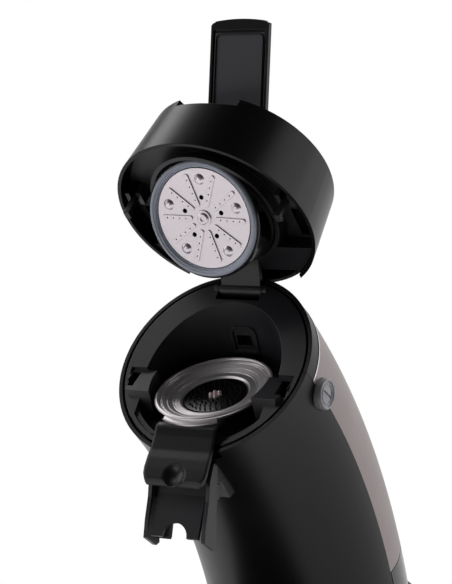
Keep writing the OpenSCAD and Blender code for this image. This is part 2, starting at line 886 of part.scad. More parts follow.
module seal_cup() {
    color([0.05, 0.05, 0.06]) lid_in_rim() intersection() {
        upright_in_lid() difference() {
            rotate_extrude() polygon([[0, 4], [disc_r - 2, 4], [disc_r - 2, 0.2], [disc_r + 0.4, 0.2],
                [disc_r + 0.4, 2], [seal_r + 0.2, 2], [seal_r + 0.2, -0.6], [cup_r - 0.6, -1.4],
                [cup_r, -0.6], [cup_r, 70], [cup_r - 2.4, 70], [cup_r - 2.4, 8], [0, 8]]);
            cylinder(r = 1.6, h = 12);
        }
        translate([0, 0, cup_top_h - 200]) cube([200, 200, 400], center = true);
    }
}

module sealing_ring() {
    color([0.4, 0.44, 0.5]) lid_open_pose() translate([0, -pod_y, -disc_drop]) rotate_extrude()
        polygon([[disc_r + 0.5, 1.9], [disc_r + 0.5, -0.3], [disc_r + 1.4, -0.9], [disc_r + 3, -seal_drop],
            [disc_r + 4.4, -seal_drop], [seal_r, 1 - seal_drop], [seal_r, 1.9]]);
}

// ---------- distribution disc ----------

module water_disc() {
    color([0.76, 0.73, 0.75]) lid_open_pose() translate([0, -pod_y, -disc_drop]) difference() {
        union() {
            translate([0, 0, -1]) cylinder(r = disc_r, h = 1);
            for (i = [0:disc_arms - 1]) rotate([0, 0, disc_turn + i * 360 / disc_arms]) {
                for (s = [-1, 1]) disc_rib(s);
                translate([0, 26, -1]) rotate_extrude() intersection() {
                    translate([0, 3.4]) circle(5);
                    translate([0, -3]) square([6, 3.6]);
                }
            }
            translate([0, 0, -2]) cylinder(r = 5.4, h = 1.5);
        }
        translate([0, 0, -5]) cylinder(r = 1.7, h = 10);
        for (i = [0:disc_arms - 1]) rotate([0, 0, disc_turn + i * 360 / disc_arms]) {
            translate([0, 14, -3]) cylinder(r = 1.6, h = 6);
            for (s = [-1, 1]) for (k = [0:3]) disc_rib_frame(s)
                translate([0, 3 + 4.6 * k, -3]) cylinder(r = 0.45, h = 6);
        }
    }
}

disc_turn = 38;

// one arm of a V: starts near the disc's centre and opens outwards
module disc_rib_frame(s) {
    translate([s * 3.4, 9.2, 0]) rotate([0, 0, -s * 19]) children();
}

module disc_rib(s) {
    disc_rib_frame(s) {
        translate([-1.7, 0, -1.8]) cube([3.4, 19, 1]);
        for (y = [0, 19]) translate([0, y, -1.8]) cylinder(r = 1.7, h = 1);
    }
}

module disc_screw() {
    color([0.7, 0.68, 0.7]) lid_open_pose() translate([0, -pod_y, -disc_drop]) {
        translate([0, 0, -2]) cylinder(r = 1.4, h = 10);
        difference() {
            translate([0, 0, -3.2]) rotate_extrude()
                polygon([[0, 0], [3.2, 0], [3.9, 0.5], [3.9, 1.2], [0, 1.2]]);
            translate([0, 0, -3.3]) cylinder(r = 1.7, h = 0.9, $fn = 6);
        }
    }
}

// ---------- lever and latch ----------

module lever_pin() {
    color([0.7, 0.7, 0.72]) lid_in_rim() translate([0, lever_u, lever_pin_h])
        x_bar(lever_pin_r - 0.02, lever_half + 1.8);
}

module lid_lever() {
    color([0.12, 0.12, 0.13]) lid_in_rim() lever_frame(lever_lock_a + lever_turn) difference() {
        union() {
            translate([-lever_half, 2, lever_rise + 1.2]) cube([2 * lever_half, lever_len - 5, lever_t]);
            lever_rim();
            lever_tip(lever_rise, lever_t + 1.2);
            for (s = [-1, 1]) translate([s * (lever_half - 2.2), 0, 0]) {
                x_bar(3.8, 1.8);
                translate([-1.8, -3.8, 0]) cube([3.6, 12, lever_rise + 1.3]);
            }
        }
        x_bar(lever_pin_r + pin_fit, 50);
    }
}

// raised bead around the lever's underside
module lever_rim() {
    for (s = [-1, 1]) translate([s * (lever_half - 1) - 1, 2, lever_rise]) cube([2, lever_len - 6, 2]);
    translate([-lever_half, 2, lever_rise]) cube([2 * lever_half, 2, 2]);
}

// the tip's edge is slightly convex with rounded corners
module lever_tip(z, t) {
    r_edge = 120;
    translate([0, 0, z]) linear_extrude(t) intersection() {
        translate([0, lever_len - r_edge]) circle(r_edge, $fn = 360);
        translate([-lever_half, lever_len - 7]) square([2 * lever_half, 7]);
        union() {
            translate([-lever_half + 3, lever_len - 9]) square([2 * lever_half - 6, 12]);
            for (s = [-1, 1]) translate([s * (lever_half - 3), lever_len - 5.1]) circle(3);
            translate([-lever_half, lever_len - 9]) square([2 * lever_half, 4]);
        }
    }
}

module lever_inset() {
    color([0.15, 0.15, 0.16]) lid_in_rim() lever_frame(lever_lock_a + lever_turn)
        translate([-lever_half + 3.2, 9, lever_rise + 0.5]) cube([2 * lever_half - 6.4, lever_len - 18, 0.7]);
}

module latch_hooks() {
    color([0.16, 0.16, 0.17]) lid_in_rim() for (s = [-1, 1]) {
        translate([s * hook_x - hook_w / 2, 0, 0]) {
            translate([0, hook_u - 1.5, -hook_foot]) cube([hook_w, 3, hook_pin_h + hook_foot]);
            translate([0, hook_u - 1.5, -hook_foot]) cube([hook_w, 5.4, 2.6]);
        }
        translate([s * hook_x, hook_u, hook_pin_h]) x_bar(3, hook_w / 2);
        translate([s * hook_x, hook_u, hook_pin_h]) x_bar(1.5, 5.5);
    }
}

module hinge_pin() {
    color([0.7, 0.7, 0.72]) in_rim() translate([0, hinge_u, hinge_h]) x_bar(hinge_pin_r - 0.02, hinge_half + ear_t);
}

// ---------- controls ----------

module button_bore(a, r) {
    translate([0, spine_y, button_z]) rotate([0, 0, a]) rotate([90, 0, 0]) cylinder(r = r, h = 90);
}

module button_panel() {
    color([0.09, 0.09, 0.1]) difference() {
        union() {
            panel_sector(panel_out, panel_in, panel_a, panel_h);
            panel_sector(column_in - 0.2, column_in - 2.2, panel_a + 2, panel_h + 5);
            panel_sector(panel_in + 0.1, column_in - 0.4, panel_a - 1, panel_h - 1);
            for (x = [-28, 28], z = [-11.5, 11.5]) translate([x, spine_y - board_r, button_z + z])
                rotate([90, 0, 0]) cylinder(r = 2.5, h = 14);
        }
        button_bore(0, power_r + 2.5);
        for (s = [-1, 1]) button_bore(s * button_step, cup_button_r + fit);
    }
}

module light_ring() {
    color([0.85, 0.88, 0.9]) difference() {
        intersection() {
            button_bore(0, power_r + 2.5);
            panel_sector(panel_out + 0.4, column_in - 2.2, 30, 60);
        }
        button_bore(0, power_r + fit);
    }
}

// a stem behind the cap reaches back to its switch on the control board
module button(a, r, stem_end) {
    difference() {
        intersection() {
            translate([0, spine_y, button_z]) rotate([0, 0, a]) rotate([90, 0, 0]) union() {
                translate([0, 0, column_in - 4]) cylinder(r = r, h = 7.6);
                translate([0, 0, stem_end]) cylinder(r = 2, h = column_in - 3 - stem_end);
            }
            translate([0, spine_y, 0]) cylinder(r = panel_out + 1.4, h = 200);
        }
        translate([0, spine_y, button_z]) rotate([0, 0, a]) rotate([90, 0, 0])
            translate([0, 0, panel_out + 16]) sphere(15.4);
    }
}

module power_button() {
    color([0.55, 0.56, 0.58]) button(0, power_r, board_r + 5.2);
}

module one_cup_button() {
    color([0.3, 0.3, 0.32]) button(-button_step, cup_button_r, board_r + 10);
}

module two_cup_button() {
    color([0.3, 0.3, 0.32]) button(button_step, cup_button_r, board_r + 10);
}

module control_board() {
    color([0.1, 0.35, 0.2]) translate([0, spine_y - board_r, button_z]) {
        translate([-32, 0, -16]) cube([64, 1.6, 34]);
        for (x = [-board_r * sin(button_step) * 1.2, 0, board_r * sin(button_step) * 1.2])
            translate([x - 3, -3.5, -3]) cube([6, 3.6, 6]);
        translate([-28, 1.5, -10]) cube([16, 12, 12]);
        translate([10, 1.5, -8]) cube([14, 9, 18]);
    }
}

// ---------- chassis, boiler, pump ----------

module chassis() {
    color([0.22, 0.22, 0.23]) difference() {
        union() {
            intersection() {
                sweep(foot_a - 1, 3) translate([seam_r - 4.6, -62]) square([2.4, 124]);
                sweep(foot_a - 1, 3) translate([spine_r, 0]) circle(column_in - fit);
            }
            translate([0, spine_y - 5.6, socket_z]) rotate([90, 0, 0]) cylinder(r = 11, h = 4.4);
            intersection() {
                translate([-70, spine_y - 31, shelf_z]) cube([140, 100, 2.6]);
                sweep(-2, 5) translate([spine_r, 0]) circle(column_in - fit);
            }
        }
        below(foot_top);
        translate([0, spine_y, socket_z]) rotate([90, 0, 0]) cylinder(r = socket_r + 0.1, h = 60, center = true);
        translate([hose_x + hose_bend, pump_y, shelf_z - 1]) cylinder(r = 4, h = 6);
    }
}

module boiler_shell() {
    color([0.7, 0.7, 0.72]) {
        at_spine(boiler_a) translate([0, 0, -boiler_h / 2 + 8]) difference() {
            cylinder(r = boiler_r, h = boiler_h);
            translate([0, 0, 2]) cylinder(r = boiler_r - 2, h = boiler_h);
        }
        for (a = [90, 210, 330]) boiler_leg(a);
        boiler_inlet();
    }
}

module boiler_inlet() {
    difference() {
        translate([20, pump_y, hose_top + hose_bend]) rotate([0, 90, 0]) cylinder(r = 3.6, h = hose_x - 20);
        at_spine(boiler_a) translate([0, 0, -boiler_h]) cylinder(r = boiler_r - 1, h = 2 * boiler_h);
    }
}

module boiler_leg(a) {
    difference() {
        translate([0, spine_y - 4, 0]) rotate([0, 0, a]) translate([26, -4, shelf_z + 2.6]) cube([8, 8, 30]);
        at_spine(boiler_a) translate([0, 0, -boiler_h / 2 + 8]) cylinder(r = 100, h = 100);
    }
}

module boiler_lid() {
    color([0.62, 0.62, 0.64]) at_spine(boiler_a) translate([0, 0, boiler_h / 2 + 8]) difference() {
        union() {
            cylinder(r = boiler_r + 3, h = 2.4);
            translate([0, 0, -3]) cylinder(r = boiler_r - 2.3, h = 3.1);
            translate([0, 20, 2]) cylinder(r = 5, h = 8);
        }
        translate([0, 20, -4]) cylinder(r = 2.5, h = 20);
        translate([18, -10, -4]) cylinder(r = 4.1, h = 20);
    }
}

module heating_coil() {
    color([0.4, 0.36, 0.34]) at_spine(boiler_a) {
        for (k = [0:2]) translate([0, 0, -20 + 9 * k]) rotate_extrude()
            translate([boiler_r - 12, 0]) circle(3.4);
        for (s = [-1, 1]) translate([s * (boiler_r - 12), 0, -boiler_h / 2 + 10]) cylinder(r = 3, h = 27);
    }
}

module temperature_sensor() {
    color([0.8, 0.75, 0.4]) at_spine(boiler_a) translate([18, -10, boiler_h / 2 - 4]) {
        cylinder(r = 4, h = 18);
        translate([0, 0, 14.4]) cylinder(r = 6, h = 3);
    }
}

module pump() {
    color([0.25, 0.25, 0.3]) translate([0, pump_y, pump_z]) rotate([0, 90, 0]) {
        cylinder(r = 16, h = 46, center = true);
        cylinder(r = 7, h = 66, center = true);
        translate([0, 0, 20]) cylinder(r = 4, h = hose_x - 20);
    }
}

module pump_mounts() {
    color([0.07, 0.07, 0.07]) for (s = [-1, 1]) translate([s * 28, pump_y, 0]) difference() {
        union() {
            translate([-3, -6, foot_top]) cube([6, 12, pump_z - foot_top]);
            translate([0, 0, pump_z]) x_bar(10, 3);
        }
        translate([0, 0, pump_z]) x_bar(7, 9);
    }
}

module tank_socket() {
    color([0.15, 0.15, 0.16]) translate([0, spine_y, socket_z]) rotate([-90, 0, 0]) difference() {
        union() {
            translate([0, 0, -17.6]) cylinder(r = socket_r, h = 12);
            translate([0, 0, -12]) cylinder(r = socket_r + 3, h = 2);
        }
        translate([0, 0, -14.6]) cylinder(r = socket_r - 1.6, h = 20);
    }
}

// from the pump's outlet up through the shelf and over to the boiler's side
module cold_hose() {
    color([0.85, 0.85, 0.85]) translate([hose_x, pump_y, 0]) {
        translate([0, 0, pump_z + hose_bend]) hose_elbow(-90);
        translate([hose_bend, 0, pump_z + hose_bend]) cylinder(r = 3, h = hose_top - pump_z - hose_bend);
        translate([0, 0, hose_top]) hose_elbow(0);
    }
}

module hose_elbow(a) {
    rotate([90, 0, 0]) rotate([0, 0, a]) rotate_extrude(angle = 90) translate([hose_bend, 0]) circle(3);
}

module hot_hose() {
    color([0.85, 0.85, 0.85]) {
        at_spine(boiler_a) translate([0, 20, boiler_h / 2 + 18]) cylinder(r = 4, h = 34);
        at_spine(boiler_a) translate([0, 20, boiler_h / 2 + 52]) sphere(4.8);
        at_rim() translate([0, hose_knee[0], hose_knee[1]]) cylinder(r = 4, h = -12 - hose_knee[1]);
    }
}

// the hot hose's bend, seen from the rim's centre
hose_knee = [arc_y - rim_y + (spine_r + 20) * cos(boiler_a) - (boiler_h / 2 + 52) * sin(boiler_a),
    arc_z - rim_z + (spine_r + 20) * sin(boiler_a) + (boiler_h / 2 + 52) * cos(boiler_a)];

// ---------- drip tray ----------

module drip_tray() {
    color([0.1, 0.1, 0.11]) translate([0, tray_y, tray_floor]) difference() {
        linear_extrude(tray_h) tray_outline(0);
        translate([0, 0, tray_wall]) linear_extrude(tray_h) tray_outline(tray_wall);
    }
}

module drip_grid() {
    inset = tray_wall + fit;
    color([0.72, 0.72, 0.74]) translate([0, tray_y, 0]) {
        translate([0, 0, tray_floor + tray_h - grid_t - 1]) linear_extrude(grid_t) difference() {
            tray_outline(inset);
            intersection() {
                tray_outline(inset + 7);
                for (i = [-6:6]) translate([-80, i * grid_pitch - grid_slot / 2]) square([160, grid_slot]);
            }
            circle(grid_pitch - grid_slot / 2 - 1);
        }
        for (x = [-grid_leg_x, grid_leg_x], y = [-4.5, 4.5] * grid_pitch)
            translate([x, y, tray_floor + tray_wall + fit])
                cylinder(r = 2.4, h = tray_h - tray_wall - fit - grid_t - 0.5);
    }
}

// ---------- water tank ----------

module tank_section(inset) {
    intersection() {
        translate([spine_r, 0]) circle(column_r - inset);
        translate([seam_r + seam_gap + 0.6 + inset, -100]) square([200, 200]);
    }
}

module water_tank() {
    color([0.42, 0.36, 0.33, 0.75]) difference() {
        sweep(foot_a - 2, 0) tank_section(0);
        difference() {
            sweep(foot_a - 3, 1) tank_section(tank_wall);
            below(tank_floor + tank_wall);
        }
        below(tank_floor);
        translate([-100, -200, tank_top]) cube([200, 500, 100]);
        translate([0, spine_y, socket_z]) rotate([90, 0, 0]) cylinder(r = 3.4, h = 12, center = true);
    }
    color([0.42, 0.36, 0.33, 0.75]) difference() {
        translate([0, spine_y + 0.6, socket_z]) rotate([90, 0, 0]) cylinder(r = socket_r - 1.9, h = 9);
        translate([0, spine_y + 1, socket_z]) rotate([90, 0, 0]) cylinder(r = 2.6, h = 20);
    }
    color([0.42, 0.36, 0.33, 0.75]) translate([30, spine_y + 30, tank_floor + 1])
        cylinder(r = 4.4, h = tank_top - tank_floor - 4);
}

module tank_valve() {
    color([0.8, 0.3, 0.2]) translate([0, spine_y, socket_z]) rotate([-90, 0, 0]) {
        translate([0, 0, -8.6]) cylinder(r = 2.2, h = 10);
        translate([0, 0, 0.6 + fit]) cylinder(r = 4.6, h = 2);
    }
}

// ring that rises on its guide post
module tank_float() {
    color([0.9, 0.9, 0.85]) translate([30, spine_y + 30, tank_floor + tank_wall + fit]) difference() {
        cylinder(r = 9, h = 14);
        translate([0, 0, -1]) cylinder(r = 4.8, h = 16);
    }
}

foot_shell();
base_plate();
rubber_feet();
base_screws();
front_shell();
rear_cover();
collar_band();
trim_strip();
rim_ring();
brew_head();
coffee_channel();
spout_bracket();
side_caps();
button_panel();
light_ring();
chassis();
boiler_shell();
boiler_lid();
heating_coil();
temperature_sensor();
pump();
pump_mounts();
control_board();
tank_socket();
cold_hose();
hot_hose();
cord_inlet();
hinge_pin();
lid_shell();
lid_frame();
seal_cup();
sealing_ring();
water_disc();
disc_screw();
lever_pin();
lid_lever();
lever_inset();
latch_hooks();
pod_holder();
holder_handle();
strainer();
strainer_studs();
spout();
spout_nozzles();
drip_tray();
drip_grid();
water_tank();
tank_valve();
tank_float();
power_button();
one_cup_button();
two_cup_button();
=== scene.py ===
# %% [markdown]
# # Pod coffee machine
# The machine's working pieces arrive from the imported CAD model: the curved column, the tilting lid, the
# water head, the pod holder, the spout, the tray and the tank. They already stand at their real size and
# place, in metres, so nothing here moves them. This lesson gives each piece its finish, adds the small
# moulded details that are modelled one by one, and sets up a plain studio with a camera.

# %% Load the frame
import math

import bpy
from mathutils import Matrix, Vector


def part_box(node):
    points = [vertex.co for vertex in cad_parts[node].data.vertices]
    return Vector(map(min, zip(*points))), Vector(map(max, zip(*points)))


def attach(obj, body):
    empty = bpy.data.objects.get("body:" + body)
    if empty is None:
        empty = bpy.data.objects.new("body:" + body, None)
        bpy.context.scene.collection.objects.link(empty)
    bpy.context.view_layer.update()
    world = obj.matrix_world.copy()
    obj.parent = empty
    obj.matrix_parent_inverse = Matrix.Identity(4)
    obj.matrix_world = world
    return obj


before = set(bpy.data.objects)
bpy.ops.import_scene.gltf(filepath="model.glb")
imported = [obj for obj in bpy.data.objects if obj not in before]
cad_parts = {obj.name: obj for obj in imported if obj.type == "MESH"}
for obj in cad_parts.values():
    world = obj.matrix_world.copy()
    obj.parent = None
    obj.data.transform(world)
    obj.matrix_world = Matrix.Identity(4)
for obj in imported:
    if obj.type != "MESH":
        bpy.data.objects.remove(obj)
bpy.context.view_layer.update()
MM = 0.001

# %% [markdown]
# ## A small language for finishes
# A finish is a tree of shader nodes. Wiring the tree by hand takes many lines, so one small class wraps a
# socket and lets plain sums such as `noise * 0.2 + 0.4` add their own Math nodes. A second class holds
# one material and adds any other node by its type, its settings and its inputs.

# %% Socket arithmetic
class Value:
    """An output socket that can be used in sums."""

    def __init__(self, finish, socket):
        self.finish = finish
        self.socket = socket

    def math(self, operation, other):
        return self.finish.node("ShaderNodeMath", {"operation": operation}, {0: self, 1: other})

    def __add__(self, other):
        return self.math("ADD", other)

    def __mul__(self, other):
        return self.math("MULTIPLY", other)

    __radd__ = __add__
    __rmul__ = __mul__


# %% One finish
class Finish:
    """A material built on one Principled shader, with patterns measured in the object's own metres."""

    def __init__(self, name, **sockets):
        self.material = bpy.data.materials.new(name)
        self.material.use_nodes = True
        self.tree = self.material.node_tree
        self.tree.nodes.clear()
        self.shader = self.tree.nodes.new("ShaderNodeBsdfPrincipled")
        self.out = self.tree.nodes.new("ShaderNodeOutputMaterial")
        self.tree.links.new(self.shader.outputs[0], self.out.inputs[0])
        self.place = self.node("ShaderNodeTexCoord", output="Object")
        self.set(**sockets)

    def put(self, socket, value):
        """Links a Value, or sets a plain number or colour. A colour of three numbers is given its alpha."""
        if isinstance(value, Value):
            self.tree.links.new(value.socket, socket)
        elif hasattr(value, "__len__") and len(value) == 3 and socket.type == "RGBA":
            socket.default_value = (*value, 1)
        else:
            socket.default_value = value

    def node(self, kind, settings=None, inputs=None, output=0):
        """Adds a node, gives it its settings and then its inputs, and returns one of its outputs."""
        node = self.tree.nodes.new(kind)
        for name, value in (settings or {}).items():
            setattr(node, name, value)
        for name, value in (inputs or {}).items():
            self.put(node.inputs[name], value)
        return Value(self, node.outputs[output])

    def set(self, **sockets):
        """Sets inputs of the Principled shader, where base_color stands for Base Color."""
        for name, value in sockets.items():
            self.put(self.shader.inputs[name.replace("_", " ").title().replace("Ior", "IOR")], value)
        return self

    def stretched(self, stretch):
        return self.node("ShaderNodeMapping", None, {"Vector": self.place, "Scale": stretch})

    def noise(self, scale, detail, where=None, roughness=0.5):
        """A cloudy pattern whose spots are about one metre divided by the scale across."""
        return self.node("ShaderNodeTexNoise", None, {
            "Vector": where or self.place, "Scale": scale, "Detail": detail, "Roughness": roughness})

    def mix(self, factor, a, b):
        """On a Mix node for colours, sockets 6 and 7 are the two colours and output 2 is the result."""
        return self.node("ShaderNodeMix", {"data_type": "RGBA"}, {0: factor, 6: a, 7: b}, output=2)

    def edges(self, radius):
        """Rounds the sharp edges of a piece in the shading alone, as a mould's small radius does."""
        return self.node("ShaderNodeBevel", {"samples": 6}, {"Radius": radius})

    def bump(self, height, distance, normal):
        return self.node("ShaderNodeBump", None, {
            "Height": height, "Distance": distance, "Strength": 1.0, "Normal": normal})

    def wear(self, nodes):
        """Puts this finish on CAD pieces in place of their plain colour."""
        for name in nodes:
            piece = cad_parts[name]
            piece.data.materials.clear()
            piece.data.materials.append(self.material)
        print(f"{self.material.name}: {', '.join(nodes)}")
        return self


# %% [markdown]
# ## Moulded plastics
# Nearly everything that shows is injection-moulded plastic. A mould leaves a fine grain, so the light on
# a black shell is broad and soft and not mirror-like. A noise with spots of 0.4 mm gives the grain, a
# slower one of 3 cm makes the colour and the gloss uneven, and a Bevel node rounds the edges as a real
# mould's radius does. Here, and in the rubbers and metals, the last term of the roughness takes back what
# the noises add, so the number given is about the mean.

# %% Moulded finish
def moulded(name, colour, roughness, grain=0.02, edge=0.5, **more):
    """The grain's height and the radius of the edges are in millimetres."""
    finish = Finish(name, **more)
    cloud = finish.noise(scale=35, detail=2)
    fine = finish.noise(scale=2600, detail=2)
    duller = tuple(c * 0.82 + 0.001 for c in colour)
    finish.set(
        base_color=finish.mix(cloud * 0.5, colour, duller),
        roughness=cloud * 0.07 + fine * 0.05 + (roughness - 0.06),
        normal=finish.bump(fine, grain * MM, finish.edges(edge * MM)))
    return finish


moulded("shell_black", (0.0042, 0.0040, 0.0045), 0.32, specular_ior_level=0.27).wear([
    "front_shell", "lid_shell", "foot_shell", "drip_tray"])
moulded("head_black", (0.0230, 0.0215, 0.0270), 0.40, 0.03).wear([
    "brew_head", "lid_frame", "latch_hooks", "tank_socket"])
moulded("bracket_black", (0.010, 0.0095, 0.0115), 0.36).wear(["spout_bracket"])
handle = moulded("handle_black", (0.0068, 0.0062, 0.0078), 0.36).wear(["lid_lever"])
moulded("grip_black", (0.0068, 0.0062, 0.0078), 0.36, edge=2.6).wear(["holder_handle"])
moulded("spout_black", (0.050, 0.047, 0.054), 0.40).wear(["spout"])
moulded("cup_black", (0.003, 0.003, 0.0035), 0.16, 0.004, 0.4).wear(["seal_cup", "button_panel"])
moulded("shadow_black", (0.002, 0.002, 0.002), 0.6).wear(["rim_ring", "coffee_channel", "spout_nozzles"])
moulded("collar_brown", (0.018, 0.0155, 0.015), 0.42, edge=0.3, specular_ior_level=0.35).wear(["collar_band"])
moulded("chassis_grey", (0.02, 0.02, 0.021), 0.5).wear(["chassis", "base_plate", "pump", "drip_grid"])
moulded("float_white", (0.75, 0.74, 0.70), 0.6).wear(["tank_float"])
moulded("valve_red", (0.45, 0.06, 0.03), 0.4).wear(["tank_valve"])
moulded("button_grey", (0.06, 0.06, 0.063), 0.38).wear(["one_cup_button", "two_cup_button"])
moulded("light_white", (0.70, 0.76, 0.82), 0.25).wear(["light_ring"])
moulded("inset_black", (0.120, 0.115, 0.135), 0.50, 0.09, 0.1).wear(["lever_inset"])
moulded("strainer_black", (0.003, 0.003, 0.0032), 0.2, edge=0.15).wear(["strainer"])
moulded("board_green", (0.02, 0.10, 0.05), 0.35).wear(["control_board"])

# %% [markdown]
# ## Rubber and silicone
# Rubber scatters light more than plastic and has only a weak, blurred reflection. The sealing ring is a
# blue-grey silicone with a faint bloom on it.

# %% Rubber finish
def rubber(name, colour, roughness):
    finish = Finish(name, specular_ior_level=0.4)
    bloom = finish.noise(scale=60, detail=4)
    skin = finish.noise(scale=1400, detail=2)
    dusty = tuple(c * 1.25 + 0.004 for c in colour)
    finish.set(
        base_color=finish.mix(bloom, colour, dusty),
        roughness=bloom * 0.15 + (roughness - 0.08),
        normal=finish.bump(skin, 0.03 * MM, finish.edges(0.5 * MM)))
    return finish


rubber("foot_rubber", (0.012, 0.012, 0.012), 0.7).wear(["rubber_feet", "pump_mounts", "cord_inlet"])
seal = rubber("seal_grey", (0.72, 0.76, 0.88), 0.42).wear(["sealing_ring"])
rubber("hose_silicone", (0.55, 0.54, 0.50), 0.45).wear(["cold_hose", "hot_hose"])

# %% [markdown]
# ## Brushed and polished metals
# A brush drags fine scratches in one direction, so its pattern is a noise squeezed across that direction.
# The scratches change the roughness and tilt the surface a little. A polished piece has a noise that is
# squeezed the same on all three axes, and on the pressed holder it is a slow one, so that its gloss
# changes only from place to place.

# %% Metal finish
def metal(name, colour, roughness, scratch=(900, 900, 900), depth=0.006, metallic=1.0):
    """The scratches per metre along x, y and z, and their depth in millimetres."""
    finish = Finish(name, metallic=metallic)
    drag = finish.noise(1, 4, finish.stretched(scratch), roughness=0.6)
    cloud = finish.noise(scale=28, detail=3)
    tarnish = tuple(c * 0.80 for c in colour)
    finish.set(
        base_color=finish.mix(drag * 0.5 + cloud * 0.3, colour, tarnish),
        roughness=drag * 0.16 + cloud * 0.08 + (roughness - 0.12),
        normal=finish.bump(drag, depth * MM, finish.edges(0.25 * MM)))
    return finish


metal("rear_lacquer", (0.37, 0.312, 0.312), 0.40, (1500, 1500, 60), 0.004, metallic=0.75).wear(["rear_cover"])
metal("trim_chrome", (0.78, 0.78, 0.80), 0.18).wear(["trim_strip", "hinge_pin", "lever_pin", "base_screws"])
metal("disc_steel", (0.88, 0.81, 0.85), 0.36, (500, 500, 500), 0.004).wear(["water_disc", "disc_screw"])
holder = metal("holder_steel", (0.90, 0.85, 0.87), 0.36, (70, 70, 70), 0.0008, metallic=0.8)
holder.wear(["pod_holder"])
metal("stud_metal", (0.85, 0.68, 0.69), 0.30, metallic=0.7).wear(["strainer_studs"])
metal("boiler_steel", (0.60, 0.60, 0.62), 0.3, (1200, 1200, 80)).wear(["boiler_shell", "boiler_lid"])
metal("coil_steel", (0.34, 0.27, 0.22), 0.42).wear(["heating_coil"])
metal("sensor_brass", (0.70, 0.50, 0.22), 0.3).wear(["temperature_sensor"])
metal("button_silver", (0.50, 0.50, 0.52), 0.34, (1200, 60, 1200), metallic=0.8).wear(["power_button"])

# %% [markdown]
# ## Smoked and clear pieces
# The tank and the round side caps let some light through. A partly transmitting Principled shader gives
# both the tint and the clear gloss, and needs no second shader mixed in.

# %% Translucent finishes
def smoked(name, colour, roughness, transmission):
    finish = Finish(name, transmission_weight=transmission, ior=1.49)
    cloud = finish.noise(scale=30, detail=2)
    deeper = tuple(c * 0.85 for c in colour)
    finish.set(
        base_color=finish.mix(cloud, colour, deeper),
        roughness=cloud * 0.05 + roughness,
        normal=finish.edges(0.5 * MM))
    return finish


smoked("tank_smoke", (0.060, 0.050, 0.045), 0.16, 0.30).wear(["water_tank"])
cap = smoked("cap_grey", (0.80, 0.78, 0.84), 0.10, 0.20).wear(["side_caps"])

# %% [markdown]
# ## Small moulded details
# Some details are too fine for the working model but catch the light: the ribs of the silicone seal, the
# rolled beads of the pressed holder, the raised bead round the lever's inset, the thumb dish and the
# rings of the caps. Each starts as a primitive set down at its real size. All but the dish take their
# place from the box of a CAD piece beside them, so the two stay together.

# %% Shared steps
SMOOTH_BELOW = math.radians(35)


def middle(node):
    """The middle of a CAD piece's box, in metres."""
    low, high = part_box(node)
    return (low + high) / 2


def square_to(tip):
    """The way a flat face looks that lay level and has been tipped up towards the front by this angle."""
    return Vector((0, -math.sin(tip), math.cos(tip)))


def start():
    """Nothing selected, so that the next operator works on the new piece alone."""
    bpy.ops.object.select_all(action="DESELECT")


def settle(name, body, finish):
    """Names the piece, lets it ride on its body and leaves its own origin at the scene's origin."""
    piece = bpy.context.object
    piece.name = name
    bpy.ops.object.transform_apply(location=True, rotation=True, scale=True)
    bpy.ops.object.shade_smooth_by_angle(angle=SMOOTH_BELOW)
    piece.data.materials.append(finish.material)
    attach(piece, body)
    size = piece.dimensions / MM
    faces = len(piece.data.polygons)
    print(f"{name}: {faces} faces, {size.x:.1f} x {size.y:.1f} x {size.z:.1f} mm on {body}")
    return piece


def ring(name, body, finish, centre, radius, thickness, turn=(0, 0, 0), segments=120):
    """A torus whose centre is in metres and whose two radii are in millimetres."""
    start()
    bpy.ops.mesh.primitive_torus_add(
        major_radius=radius * MM, minor_radius=thickness * MM, major_segments=segments, minor_segments=12,
        location=centre, rotation=turn)
    return settle(name, body, finish)


# %% [markdown]
# ## Ribs of the seal
# The lid stands open, so the seal leans with it, round the same axis as the water disc. The ribs are two
# thin tori on that axis, half sunk in the sloping side of the seal. A torus needs only its centre, two
# radii and a tilt, and stays closed.

# %% Model the seal ribs
lid_opening = 99.3
disc_tip = math.radians(180 - lid_opening)
seal_ribs = [(35.5, 1.72, 0.6), (34.5, 0.12, 0.45)]
for number, (radius, out, thickness) in enumerate(seal_ribs, start=1):
    centre = middle("water_disc") + square_to(disc_tip) * out * MM
    ring(f"seal_rib_{number}", "lid", seal, centre, radius, thickness, (disc_tip, 0, 0))

# %% [markdown]
# ## Rolled beads of the holder
# A pressed steel dish is stiffened by shallow rolled beads. They are tori again, level this time and
# round the strainer's middle, and sit half in the dish so that each shows as one bright line.

# %% Model the holder beads
strainer_y = middle("strainer").y
holder_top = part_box("pod_holder")[1].z
holder_beads = [(35.2, 2.6, 0.55), (31.2, 4.1, 0.5), (27.6, 5.2, 0.5)]
for number, (radius, depth, thickness) in enumerate(holder_beads, start=1):
    centre = (0, strainer_y, holder_top - depth * MM)
    ring(f"holder_bead_{number}", "pod_holder", holder, centre, radius, thickness)

# %% [markdown]
# ## Bead round the lever's inset
# A plane with rounded corners is inset, its middle is taken away, and the border that is left is pulled
# out. That gives a frame with the same width all round, which two nested boxes would not give at the
# corners.

